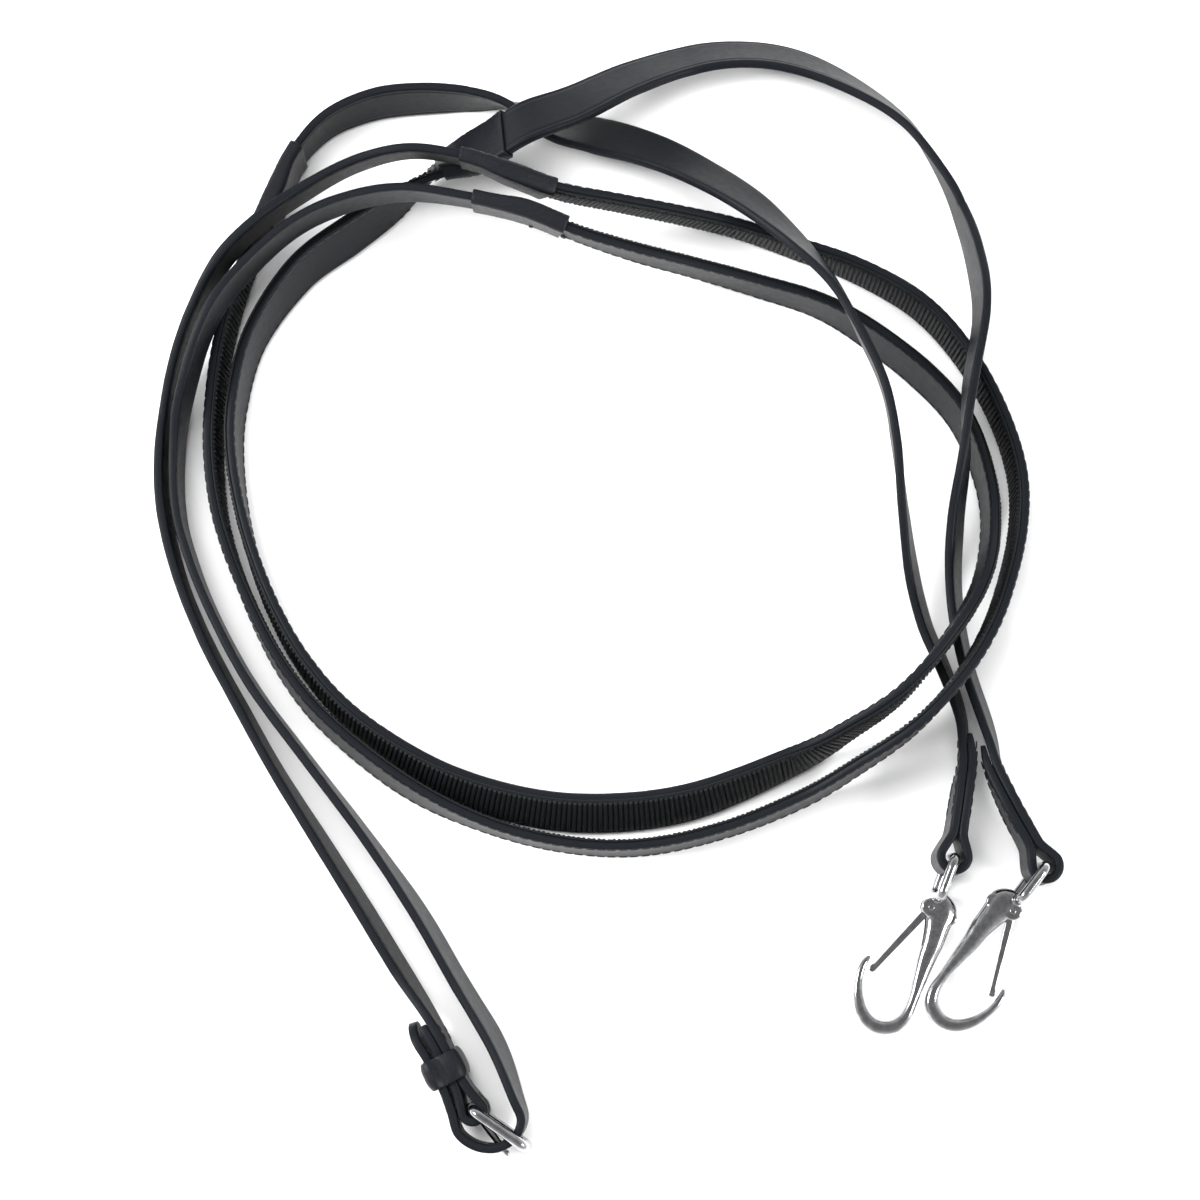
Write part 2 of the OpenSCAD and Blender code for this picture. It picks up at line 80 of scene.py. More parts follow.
# Routes: [x, y, height of the lower edge, lean in degrees], hook first. A positive lean tips the
# upper edge to the left of the run.
RIGHT = np.array([
    [0.125, -0.072, 0.0051, 1], [0.120, -0.062, 0.0051, 4], [0.116, -0.051, 0.0025, 10],
    [0.114, -0.040, 0, 17], [0.108, -0.020, 0, 18], [0.105, 0, 0.001, 18], [0.105, 0.020, 0.007, 18],
    [0.107, 0.040, 0.016, 11], [0.109, 0.060, 0.017, -2], [0.113, 0.082, 0.016, -4],
    [0.113, 0.100, 0.008, -3], [0.110, 0.118, 0, 2], [0.104, 0.132, 0, 11], [0.094, 0.147, 0, 22],
    [0.080, 0.158, 0, 32], [0.062, 0.167, 0, 42], [0.045, 0.170, 0, 45], [0.027, 0.168, 0, 49],
    [0.009, 0.160, 0.006, 56], [-0.008, 0.149, 0.014, 63], [-0.023, 0.142, 0.017, 64],
    [-0.037, 0.136, 0.007, 55], [-0.050, 0.130, 0.003, 25], [-0.062, 0.121, 0.001, -8],
    [-0.076, 0.111, 0, -20], [-0.091, 0.099, 0, -17], [-0.104, 0.079, 0, -9],
    [-0.109, 0.058, 0, -5], [-0.109, 0.040, 0, -2], [-0.105, 0.019, 0, 3], [-0.097, -0.003, 0, 7],
    [-0.086, -0.022, 0, 10], [-0.071, -0.038, 0, 13], [-0.048, -0.0535, 0, 24],
    [-0.024, -0.062, 0, 30], [0, -0.0645, 0, 32], [0.027, -0.061, 0, 29], [0.056, -0.0495, 0, 19],
    [0.072, -0.041, 0.006, 9], [0.087, -0.031, 0.015, 4], [0.100, -0.016, 0.018, -1],
    [0.110, 0, 0.015, -3], [0.115, 0.017, 0.006, -3], [0.115, 0.033, 0.002, -4],
    [0.109, 0.052, 0, -8], [0.098, 0.066, 0, -10], [0.081, 0.080, 0, -8], [0.066, 0.089, 0, -3],
    [0.047, 0.095, 0.001, 1], [0.029, 0.099, 0.005, 5], [0.011, 0.102, 0.011, 7],
    [-0.006, 0.106, 0.016, 10], [-0.023, 0.112, 0.019, 10], [-0.041, 0.116, 0.020, 9],
    [-0.059, 0.118, 0.020, 6], [-0.076, 0.115, 0.019, 4], [-0.091, 0.108, 0.018, 3],
    [-0.104, 0.096, 0.018, 1], [-0.114, 0.082, 0.019, 0], [-0.121, 0.066, 0.013, 0],
    [-0.126, 0.048, 0.003, 0], [-0.126, 0.027, 0, 0], [-0.121, 0.009, 0, 0],
    [-0.113, -0.009, 0, 0], [-0.102, -0.028, 0, -2], [-0.086, -0.049, 0, -3],
    [-0.068, -0.072, 0, -5], [-0.053, -0.093, 0, -10], [-0.041, -0.113, 0, -11],
    [-0.030, -0.131, 0.002, -12], [-0.024, -0.146, 0.0035, -6], [-0.022, -0.152, 0.0035, -2],
    [-0.024, -0.157, 0.0035, 0], [-0.029, -0.160, 0.0035, 0], [-0.035, -0.1595, 0.0035, 0],
    [-0.040, -0.156, 0.0035, 0], [-0.042, -0.150, 0.0035, 0], [-0.0445, -0.1435, 0.0035, 0],
    [-0.0485, -0.136, 0.0035, 1], [-0.052, -0.130, 0.003, 3], [-0.0535, -0.125, 0.003, 4]])
LEFT = np.array([
    [0.102, -0.069, 0.0051, 0], [0.104, -0.058, 0.0051, 2], [0.106, -0.048, 0.002, 8],
    [0.106, -0.036, 0, 14], [0.101, -0.021, 0, 18], [0.096, -0.009, 0.001, 18],
    [0.092, 0.006, 0.005, 17], [0.089, 0.024, 0.012, 11], [0.087, 0.042, 0.016, 6],
    [0.084, 0.059, 0.017, 8], [0.077, 0.076, 0.017, 10], [0.069, 0.091, 0.017, 17],
    [0.058, 0.104, 0.017, 30], [0.044, 0.118, 0.014, 43], [0.028, 0.131, 0.006, 50],
    [0.014, 0.139, 0.002, 56], [-0.001, 0.144, 0, 58], [-0.014, 0.146, 0, 43],
    [-0.027, 0.153, 0, 20], [-0.040, 0.155, 0, 0], [-0.056, 0.155, 0, -9], [-0.070, 0.153, 0, -9],
    [-0.083, 0.147, 0.0005, -4], [-0.092, 0.137, 0.0012, 0], [-0.098, 0.125, 0.0012, 0],
    [-0.104, 0.110, 0.001, -1], [-0.110, 0.094, 0, -3], [-0.114, 0.077, 0, -4],
    [-0.116, 0.059, 0, -4], [-0.116, 0.041, 0, -4], [-0.113, 0.021, 0, 0], [-0.105, -0.001, 0, 4],
    [-0.094, -0.022, 0, 7], [-0.080, -0.039, 0, 9], [-0.057, -0.057, 0, 10],
    [-0.034, -0.068, 0, 4], [-0.011, -0.074, 0, 3], [0.012, -0.075, 0, 4], [0.036, -0.070, 0, 4],
    [0.059, -0.061, 0.001, 6], [0.075, -0.052, 0.008, 5], [0.090, -0.042, 0.015, 2],
    [0.102, -0.030, 0.017, 0], [0.111, -0.017, 0.016, -2], [0.118, -0.002, 0.011, -2],
    [0.124, 0.018, 0.004, -2], [0.125, 0.036, 0.001, -2], [0.120, 0.055, 0, -2],
    [0.110, 0.074, 0, -4], [0.097, 0.089, 0, -4], [0.079, 0.100, 0, -2], [0.061, 0.107, 0, 2],
    [0.042, 0.113, 0.002, 6], [0.024, 0.116, 0.006, 8], [0.006, 0.118, 0.011, 9],
    [-0.012, 0.120, 0.016, 10], [-0.027, 0.124, 0.021, 11], [-0.041, 0.128, 0.022, 11],
    [-0.057, 0.130, 0.022, 11], [-0.073, 0.127, 0.019, 9], [-0.088, 0.119, 0.018, 6],
    [-0.101, 0.109, 0.019, 4], [-0.112, 0.098, 0.017, 2], [-0.120, 0.085, 0.011, 0],
    [-0.126, 0.071, 0.005, -1], [-0.130, 0.054, 0, -1], [-0.131, 0.036, 0, -1],
    [-0.129, 0.020, 0, -1], [-0.124, 0.003, 0, -1], [-0.116, -0.015, 0, -3],
    [-0.106, -0.033, 0, -4], [-0.095, -0.052, 0, -5], [-0.082, -0.072, 0, -8],
    [-0.069, -0.092, 0, -10], [-0.057, -0.111, 0, -10], [-0.047, -0.126, 0.0035, -4],
    [-0.039, -0.141, 0.0035, -1]])

# places along each route, counted in route points
R_FRONT = (20.375, 21.875)
R_REAR = (51.3, 52.8)
L_FRONT = (23.0, 24.7)
L_REAR = (55.2, 57.0)
R_SPLICES = (21.45, 51.9)
L_SPLICES = (23.8, 56.0)
SPLICE_GAP = 0.02
RUBBER_IN = 0.25
R_END = len(RIGHT) - 1
L_END = len(LEFT) - 1
R_FOLD = 2.4
L_FOLD = 2.4
B_FOLD = L_END - 1.05
BILLET_HOLES = (67.2, 68.1, 69.2)
BILLET_HOLE_R = 0.0017
KEEPER_AT = L_END - 0.3
RIGHT_DIR = -128
LEFT_DIR = -111
BUCKLE_DIR = -34
PRONG_DIR = -52

# the hook's curl, in mm: [x, y, half width, half thickness]
CURL = np.array([
    [11, -1, 2, 2.6], [13, -1.6, 3.9, 3.1], [16, -2.4, 4.8, 3.2], [20, -2.9, 3.8, 3],
    [25, -3.3, 3.2, 2.7], [30, -3.2, 2.7, 2.4], [36, -3.4, 2.1, 2.2], [42, -3.6, 1.6, 2.2],
    [47, -3.3, 1.8, 2.2], [50.5, -1.8, 2.1, 2.2], [52.4, 0.8, 2.2, 2.2], [53, 3.8, 2.2, 2.2],
    [52.2, 6.8, 2.1, 2.2], [50, 9.4, 1.9, 2], [46.5, 11.6, 1.6, 1.9], [42.5, 12.9, 1.3, 1.7],
    [39, 13.3, 1.2, 1.5], [36.6, 13, 1, 1.3], [34.8, 12.3, 0.5, 0.8]])
GATE_PIVOT = (0.0155, 0.0008)
GATE_LEN = 0.0254
GATE_DIR = 23
GATE_HALF_T = 0.00118
# the knuckle round the gate's pin and the ear beside it: radius and half height
KNUCKLE = (0.00278, 0.0029)
EAR_PLACE = (0.0165, -0.005)
EAR = (0.00238, 0.0024)
PIN = (0.00088, 0.00305)
GATE_BORE_R = 0.00095
PRONG_EYE_R = 0.00238
PRONG_BORE_R = 0.00156


# ---- routes ----
def catmull(table, s):
    """Rows of the table's smooth curve at the places s, which may be fractions."""
    s = np.atleast_1d(np.asarray(s, float))
    padded = np.vstack([2 * table[0] - table[1], table, 2 * table[-1] - table[-2]])
    i = np.clip(np.floor(s).astype(int), 0, len(table) - 2)
    u = (s - i)[:, None]
    p, q, r, t = (padded[i + k] for k in range(4))
    return 0.5 * (2 * q + (r - p) * u + (2 * p - 5 * q + 4 * r - t) * u**2
                  + (3 * q - p - 3 * r + t) * u**3)


def middle(route, s):
    """The middle of the strap, high enough for its lower corner to clear the floor."""
    row = catmull(route, s)
    lean = np.radians(row[:, 3])
    tip = np.abs(np.sin(lean))
    corner = np.minimum(tip * (GRIP_T + RUBBER_T), tip * PLAIN_T + 0.0004)
    z = np.maximum(0, row[:, 2]) + HALF_W * np.cos(lean) + corner
    return np.stack([row[:, 0], row[:, 1] - ORIGIN_Y, z], 1)


def unit(v):
    return v / np.linalg.norm(v, axis=-1, keepdims=True)


class Path:
    """Frames along a strap: middle, thickness direction (left), width direction, run."""

    def __init__(self, mid, thick, wide, run):
        self.mid = mid
        self.thick = thick
        self.wide = wide
        self.run = run
        gaps = np.linalg.norm(np.diff(mid, axis=0), axis=1)
        self.length = np.concatenate([[0], np.cumsum(gaps)])

    def turned(self, offset=0.0):
        return Path((self.mid + self.thick * offset)[::-1], -self.thick[::-1], self.wide[::-1],
                    -self.run[::-1])

    def __add__(self, other):
        return Path(*[np.vstack(pair) for pair in (
            (self.mid, other.mid), (self.thick, other.thick), (self.wide, other.wide),
            (self.run, other.run))])

    def spaced(self, step):
        """The same path with its frames close to step apart."""
        n = max(2, int(round(self.length[-1] / step)) + 1)
        at = np.linspace(0, self.length[-1], n)
        parts = []
        for a in (self.mid, self.thick, self.wide, self.run):
            parts.append(np.stack([np.interp(at, self.length, a[:, k]) for k in range(3)], 1))
        return Path(parts[0], unit(parts[1]), unit(parts[2]), unit(parts[3]))


def frames(route, s):
    s = np.atleast_1d(np.asarray(s, float))
    d = 0.02
    ahead = middle(route, np.minimum(s + d, len(route) - 1))
    behind = middle(route, np.maximum(s - d, 0))
    run = unit(ahead - behind)
    left = unit(np.stack([-run[:, 1], run[:, 0], np.zeros(len(s))], 1))
    up = np.cross(run, left)
    lean = np.radians(catmull(route, s)[:, 3])[:, None]
    return Path(middle(route, s), left * np.cos(lean) - up * np.sin(lean),
                up * np.cos(lean) + left * np.sin(lean), run)


def run_of(route, a, b, step=0.0015):
    return frames(route, np.linspace(a, b, max(8, int(abs(b - a) * 40)))).spaced(step)


def turn_of(end, ahead, side, r):
    """The turn of leather round a bar beyond the frame end, from the fold to the main strap."""
    pts = [(0.0005, side * FOLD_OFF), (0.003, side * (FOLD_OFF + 0.0003))]
    for k in range(4, -5, -1):
        a = math.radians(30 * k)
        pts.append((LOOP_A + r * math.cos(a), side * (FOLD_OFF / 2 + r * math.sin(a))))
    pts += [(0.003, -side * 0.0003), (0.0005, 0)]
    pts = catmull(np.array(pts), np.linspace(0, len(pts) - 1, 8 * len(pts)))
    mid = end.mid[0] + ahead * pts[:, :1] + end.thick[0] * pts[:, 1:]
    run = unit(np.gradient(mid, axis=0))
    wide = np.repeat(end.wide[:1], len(mid), 0)
    return Path(mid, np.cross(wide, run), wide, run)


def bar_at(end, ahead, side):
    return end.mid[0] + ahead * LOOP_A + end.thick[0] * side * FOLD_OFF / 2


def looped_start(route, fold, stop, side, step=0.0015):
    end = frames(route, 0)
    fold_run = run_of(route, 0, fold, step).turned(side * FOLD_OFF)
    turn = turn_of(end, -end.run[0], side, LOOP_R).spaced(0.0005)
    return fold_run + turn + run_of(route, 0, stop, step)


def looped_end(route, start, fold, side, step=0.0008):
    last = len(route) - 1
    end = frames(route, last)
    turn = turn_of(end, end.run[0], side, BUCKLE_LOOP_R).spaced(0.0005)
    back = Path(turn.mid[::-1], -turn.thick[::-1], turn.wide[::-1], -turn.run[::-1])
    fold_run = run_of(route, fold, last, step).turned(side * FOLD_OFF)
    return run_of(route, start, last, step) + back + fold_run


# ---- mesh building ----
def wave(x, seed, size):
    """Smooth noise between -1 and 1 along x, with bumps about as long as size."""
    total = 0
    for k in range(1, 5):
        total = total + math.sin(seed * 7.1 + k) * np.sin(x / size * (1.3 * k + 0.37 * seed) + seed * k * 2.3)
    return np.clip(total / 1.6, -1, 1)


def mesh_object(name, verts, faces, kinds=None, uvs=None, sharp=40):
    mesh = bpy.data.meshes.new(name)
    mesh.from_pydata([tuple(v) for v in verts], [], faces)
    if kinds is not None:
        mesh.polygons.foreach_set("material_index", np.array(kinds, np.int32))
    if uvs is not None:
        layer = mesh.uv_layers.new(name="UVMap")
        index = np.zeros(len(mesh.loops), np.int32)
        mesh.loops.foreach_get("vertex_index", index)
        layer.data.foreach_set("uv", np.asarray(uvs)[index].astype(np.float32).ravel())
    tidy = bmesh.new()
    tidy.from_mesh(mesh)
    bmesh.ops.recalc_face_normals(tidy, faces=tidy.faces)
    tidy.to_mesh(mesh)
    tidy.free()
    mesh.shade_smooth()
    mesh.set_sharp_from_angle(angle=math.radians(sharp))
    obj = bpy.data.objects.new(name, mesh)
    bpy.context.scene.collection.objects.link(obj)
    return obj


def loft(name, path, rings, kinds=None, caps=True, sharp=40, shift=None):
    """A skin over rings[i, j] = (thickness, width) offsets at each frame of the path."""
    n, m = rings.shape[:2]
    verts = (path.mid[:, None] + path.thick[:, None] * rings[..., :1]
             + path.wide[:, None] * rings[..., 1:2])
    if shift is not None:
        verts = verts + path.run[:, None] * shift[..., None]
    faces = []
    marks = []
    for i in range(n - 1):
        for j in range(m):
            k = (j + 1) % m
            faces.append((i * m + j, i * m + k, (i + 1) * m + k, (i + 1) * m + j))
            marks.append(0 if kinds is None else kinds[j])
    if caps:
        faces.append(tuple(range(m)))
        faces.append(tuple((n - 1) * m + j for j in range(m)))
        marks += [marks[0], marks[0]]
    around = np.linalg.norm(np.diff(rings[n // 2], axis=0), axis=1)
    around = np.concatenate([[0], np.cumsum(around)])
    uvs = np.stack(np.broadcast_arrays(path.length[:, None], around[None, :]), -1).reshape(-1, 2)
    return mesh_object(name, verts.reshape(-1, 3), faces, marks, uvs, sharp)


def join(name, objs, sharp=40):
    """One object from several, with their materials dropped."""
    verts = []
    faces = []
    for obj in objs:
        start = len(verts)
        verts += [v.co.copy() for v in obj.data.vertices]
        faces += [tuple(start + i for i in p.vertices) for p in obj.data.polygons]
        bpy.data.objects.remove(obj)
    return mesh_object(name, verts, faces, sharp=sharp)


def bake_modifiers(obj):
    bpy.context.view_layer.update()
    graph = bpy.context.evaluated_depsgraph_get()
    mesh = bpy.data.meshes.new_from_object(obj.evaluated_get(graph))
    obj.modifiers.clear()
    obj.data = mesh


def cut(obj, tool, crossing=False):
    """Takes the tool's solid out of obj; crossing is for a skin whose folds touch each other."""
    mod = obj.modifiers.new("cut", "BOOLEAN")
    mod.operation = "DIFFERENCE"
    mod.solver = "EXACT"
    mod.use_self = crossing
    mod.object = tool
    bake_modifiers(obj)
    bpy.data.objects.remove(tool)
    obj.data.set_sharp_from_angle(angle=math.radians(40))


def bevelled(obj, width, segments=3):
    mod = obj.modifiers.new("bevel", "BEVEL")
    mod.width = width
    mod.segments = segments
    mod.angle_limit = math.radians(35)
    bake_modifiers(obj)
    obj.data.shade_smooth()
    obj.data.set_sharp_from_angle(angle=math.radians(50))
    return obj


def plate(name, outline, z0, z1, bevel=0.0):
    """A flat piece with the given outline in x and y."""
    n = len(outline)
    verts = [(x, y, z0) for x, y in outline] + [(x, y, z1) for x, y in outline]
    faces = [tuple(range(n)), tuple(range(n, 2 * n))]
    faces += [(i, (i + 1) % n, n + (i + 1) % n, n + i) for i in range(n)]
    obj = mesh_object(name, verts, faces, sharp=30)
    return bevelled(obj, bevel) if bevel else obj


def drum(name, centre, radius, z0, z1, bevel=0.0, sides=48):
    outline = []
    for k in range(sides):
        a = 2 * math.pi * k / sides
        outline.append((centre[0] + radius * math.cos(a), centre[1] + radius * math.sin(a)))
    return plate(name, outline, z0, z1, bevel)


def tube(name, points, radius, sides=16, closed=False, squash=1.0):
    """A round bar along points; squash flattens it along z."""
    pts = np.array(points, float)
    if closed:
        run = unit(np.roll(pts, -1, 0) - np.roll(pts, 1, 0))
    else:
        run = unit(np.gradient(pts, axis=0))
    side = np.cross(run, [0, 1, 0])
    weak = np.linalg.norm(side, axis=1) < 0.2
    side[weak] = np.cross(run[weak], [1, 0, 0])
    side = unit(side)
    other = np.cross(run, side)
    angle = np.linspace(0, 2 * np.pi, sides, endpoint=False)
    radius = np.broadcast_to(np.asarray(radius, float), (len(pts),))
    ring = (side[:, None] * np.cos(angle)[None, :, None] * squash
            + other[:, None] * np.sin(angle)[None, :, None])
    verts = (pts[:, None] + ring * radius[:, None, None]).reshape(-1, 3)
    n = len(pts)
    faces = []
    for i in range(n if closed else n - 1):
        for j in range(sides):
            k = (j + 1) % sides
            h = (i + 1) % n
            faces.append((i * sides + j, i * sides + k, h * sides + k, h * sides + j))
    if not closed:
        faces.append(tuple(range(sides)))
        faces.append(tuple((n - 1) * sides + j for j in range(sides)))
    return mesh_object(name, verts, faces)


def filled(corners):
    """A closed outline with points added along its longer straight stretches."""
    out = []
    for i, here in enumerate(corners):
        start = np.array(here)
        step = np.array(corners[(i + 1) % len(corners)]) - start
        cuts = max(1, int(math.dist(start, start + step) / OUTLINE_STEP))
        out += [start + step * k / cuts for k in range(cuts)]
    return np.array(out)


def rounded_loop(x0, x1, z0, z1, r, steps=8):
    """Points of a rounded rectangle in the x-z plane."""
    pts = []
    for cx, cz, start in ((x1 - r, z1 - r, 0), (x0 + r, z1 - r, 90), (x0 + r, z0 + r, 180),
                          (x1 - r, z0 + r, 270)):
        for k in range(steps + 1):
            a = math.radians(start + 90 * k / steps)
            pts.append((cx + r * math.cos(a), 0, cz + r * math.sin(a)))
    return filled(pts)


# ---- straps ----
GRAIN, FLESH, EDGE = 0, 1, 2


def strap_outline(half_t, grain, creases=True):
    """Cross-section of a leather strap with rolled edges, and each strip's material."""
    t = half_t
    h = HALF_W
    groove = 0.00014 if creases else 0.0
    front = [(0.5 * t, h - 0.00006), (0.82 * t, h - 0.00025), (0.95 * t, h - 0.0005),
             (t, h - 0.0009), (t, h - 0.0013), (t - groove, h - 0.0016), (t, h - 0.0019),
             (t - 0.00003, h - 0.0026), (t - 0.00006, 0.0035), (t - 0.00008, 0.0015)]
    back = [(-0.6 * t, h - 0.00004), (-0.9 * t, h - 0.0002), (-t, h - 0.0006), (-t, h - 0.0016),
            (-t + 0.00003, 0.0045), (-t + 0.00005, 0.0022)]
    loop = [(0, -h)]
    loop += [(b, -w) for b, w in front] + [(t - 0.00009, 0)] + [(b, w) for b, w in front[::-1]]
    loop += [(0, h)]
    loop += [(b, w) for b, w in back] + [(-t + 0.00006, 0)] + [(b, -w) for b, w in back[::-1]]
    kinds = []
    for i, (b, w) in enumerate(loop):
        b2, w2 = loop[(i + 1) % len(loop)]
        if abs(w + w2) / 2 > h - 0.0005:
            kinds.append(EDGE)
        else:
            kinds.append(GRAIN if b + b2 > 0 else FLESH)
    return np.array([(b * grain, w) for b, w in loop]), kinds


def leather(name, path, half_t, grain, seed, creases=True, skive=0.0, tip=0.0, blunt=True):
    """A strap along the path. skive thins its first length; tip rounds its far end off."""
    outline, kinds = strap_outline(half_t, grain, creases)
    rings = np.repeat(outline[None], len(path.mid), 0)
    x = path.length[:, None]
    end = path.length[-1]
    rings[..., 0] *= 1 - 0.035 * (0.5 + 0.5 * wave(x, seed, 0.012))
    rings[..., 1] *= 1 - 0.006 * (0.5 + 0.5 * wave(x, seed + 3, 0.017))
    if skive:
        # thin from the outer side only, so that the fold stays on the strap beneath it
        k = np.clip(1 - x / skive, 0, 1) ** 1.5
        outer = rings[..., 0] * grain > 0
        rings[..., 0] = np.where(outer, rings[..., 0] * (1 - 0.75 * k), rings[..., 0])
        rings[..., 1] *= 1 - 0.05 * k
    if tip:
        e = np.clip((end - x) / tip, 0, 1)
        rings[..., 1] *= 0.12 + 0.88 * np.sqrt(1 - (1 - e) ** 2)
    if blunt:
        for i, k in ((0, 0.90), (1, 0.97), (-1, 0.90), (-2, 0.97)):
            rings[i, :, 0] *= k
            rings[i, :, 1] *= 0.5 + k / 2
    return loft(name, path, rings, kinds, sharp=55)


def rubber(name, path, side, seed):
    """Ribbed rubber lining on the grip's face on the given side."""
    per_rib = 6
    path = path.spaced(RIB_PITCH / per_rib)
    n = len(path.mid)
    phase = np.arange(n) % per_rib
    rise = np.array([0.0, 0.86, 1.0, 0.96, 0.8, 0.0])[phase]
    rise *= 0.93 + 0.07 * wave(path.length, seed, 0.004)
    near = GRIP_T + 0.00001
    base = GRIP_T + RUBBER_BASE
    h = HALF_W
    r = RIB_HALF_W
    # [thickness without a rib, added by a full rib, width]
    shape = np.array([
        (near, 0, -h + 0.0002), (near + 0.0002, 0, -h + 0.00002), (base - 0.0001, 0, -h + 0.0001),
        (base, 0, -h + 0.0004), (base - 0.00002, 0, -h + 0.0008), (base - 0.00006, 0, -r - 0.0002),
        (base - 0.00008, 0.45, -r), (base - 0.00008, 0.9, -r + 0.0002), (base - 0.00008, 1, -r + 0.0006),
        (base - 0.00008, 1, -0.0028), (base - 0.00008, 0.97, 0), (base - 0.00008, 1, 0.0028),
        (base - 0.00008, 1, r - 0.0006), (base - 0.00008, 0.9, r - 0.0002), (base - 0.00008, 0.45, r),
        (base - 0.00006, 0, r + 0.0002), (base - 0.00002, 0, h - 0.0008), (base, 0, h - 0.0004),
        (base - 0.0001, 0, h - 0.0001), (near + 0.0002, 0, h - 0.00002), (near, 0, h - 0.0002)])
    rib = RUBBER_T - RUBBER_BASE
    rings = np.zeros((n, len(shape), 2))
    rings[..., 0] = (shape[:, 0][None] + shape[:, 1][None] * rise[:, None] * rib) * side
    rings[..., 1] = shape[:, 2][None] * (1 - 0.004 * (0.5 + 0.5 * wave(path.length, seed, 0.013)))[:, None]
    return loft(name, path, rings, sharp=35)


def threads(name, rows):
    """Short raised stitches, one at each frame of a row.

    A row is (frames, thickness offset, width offset, length, radius, slant across the strap).
    """
    verts = []
    faces = []
    sides = 6
    stations = ((-0.5, 0.35), (-0.36, 0.9), (0, 1.0), (0.36, 0.9), (0.5, 0.35))
    for path, b, w, length, radius, slant in rows:
        for i in range(len(path.mid)):
            start = len(verts)
            for x, k in stations:
                c = (path.mid[i] + path.run[i] * x * length + path.thick[i] * b
                     + path.wide[i] * (w + slant * x))
                for j in range(sides):
                    a = 2 * math.pi * j / sides
                    verts.append(c + (path.thick[i] * math.cos(a) * 0.8
                                      + path.wide[i] * math.sin(a)) * radius * k)
            for s in range(len(stations) - 1):
                for j in range(sides):
                    k = (j + 1) % sides
                    p = start + s * sides
                    faces.append((p + j, p + k, p + sides + k, p + sides + j))
            faces.append(tuple(start + j for j in range(sides)))
            faces.append(tuple(start + (len(stations) - 1) * sides + j for j in range(sides)))
    return mesh_object(name, verts, faces, sharp=60)


def seam_frames(route, a, b, pitch):
    path = run_of(route, a, b, 0.0005)
    n = int(path.length[-1] / pitch)
    pick = np.interp((np.arange(n) + 0.5) * pitch, path.length, np.arange(len(path.mid)))
    pick = np.round(pick).astype(int)
    return Path(path.mid[pick], path.thick[pick], path.wide[pick], path.run[pick])


def box_outline(b0, b1, w, r):
    """A rounded rectangle b0..b1 by -w..w."""
    centre = (b0 + b1) / 2
    hb = (b1 - b0) / 2
    pts = []
    corners = ((1, 1, 0), (-1, 1, 90), (-1, -1, 180), (1, -1, 270))
    for sb, sw, start in corners:
        for k in range(6):
            a = math.radians(start + 90 * k / 5)
            pts.append((centre + sb * (hb - r) + r * math.cos(a), sw * (w - r) + r * math.sin(a)))
    return filled(pts)


def shell(name, path, inner, outer):
    """An open-ended tube with thickness, from the rings of its inside and outside."""
    lip_in = inner + (outer - inner) * 0.35
    lip_out = inner + (outer - inner) * 0.8
    n = len(path.mid)
    order = [0] * 2 + list(range(n)) + [n - 1] * 2
    rings = [lip_in[0], lip_out[0]] + [outer[i] for i in range(n)] + [lip_out[-1], lip_in[-1]]
    order += list(range(n - 1, -1, -1)) + [0]
    rings += [inner[i] for i in range(n - 1, -1, -1)] + [lip_in[0]]
    shift = np.zeros(len(order))
    bulge = 0.00018
    shift[0] = shift[1] = shift[-1] = -bulge
    shift[n + 2] = shift[n + 3] = bulge
    whole = Path(path.mid[order], path.thick[order], path.wide[order], path.run[order])
    rings = np.array(rings)
    obj = loft(name, whole, rings, caps=False, sharp=70,
               shift=np.repeat(shift[:, None], rings.shape[1], 1))
    weld = bmesh.new()
    weld.from_mesh(obj.data)
    bmesh.ops.remove_doubles(weld, verts=weld.verts, dist=0.000002)
    bmesh.ops.recalc_face_normals(weld, faces=weld.faces)
    weld.to_mesh(obj.data)
    weld.free()
    obj.data.set_sharp_from_angle(angle=math.radians(70))
    return obj


def sleeve(name, route, span, side, plain_first, seed):
    """The leather wrap over a splice; side is the rubber's side. It is tight on the plain strap."""
    path = run_of(route, span[0], span[1], 0.0007)
    x = path.length / path.length[-1]
    plain = x if plain_first else 1 - x
    tight = 1 - np.clip((plain - 0.15) / 0.45, 0, 1)
    tight = tight * tight * (3 - 2 * tight)
    rings_in = []
    rings_out = []
    low = -PLAIN_T - SLEEVE_GAP
    for snug in tight:
        high = GRIP_T + RUBBER_T + SLEEVE_GAP - (GRIP_T + RUBBER_T - PLAIN_T) * snug
        inside = box_outline(low, high, HALF_W + SLEEVE_GAP, 0.0004)
        outside = box_outline(low - SLEEVE_T, high + SLEEVE_T, HALF_W + SLEEVE_GAP + SLEEVE_T, 0.0013)
        rings_in.append(resample(inside, SLEEVE_POINTS))
        rings_out.append(resample(outside, SLEEVE_POINTS))
    rings_in = np.array(rings_in)
    rings_out = np.array(rings_out)
    around = np.arange(SLEEVE_POINTS)[None, :]
    along = path.length[:, None]
    fold = wave(along + 0.0006 * np.sin(around * 0.7 + seed), seed, 0.0016)
    crease = wave(along * 0.4 + 0.00035 * around, seed + 2, 0.0011)
    sink = 0.12 + 0.16 * (0.5 + 0.5 * fold) * (0.5 + 0.5 * crease)
    rings_out = rings_in + (rings_out - rings_in) * (1 - sink)[..., None]
    rings_in[..., 0] *= side
    rings_out[..., 0] *= side
    return shell(name, path, rings_in, rings_out)


def resample(ring, count):
    """The closed outline again with count points, starting at the same place."""
    loop = np.vstack([ring, ring[:1]])
    gaps = np.linalg.norm(np.diff(loop, axis=0), axis=1)
    at = np.concatenate([[0], np.cumsum(gaps)])
    want = np.linspace(0, at[-1], count, endpoint=False)
    return np.stack([np.interp(want, at, loop[:, k]) for k in (0, 1)], 1)


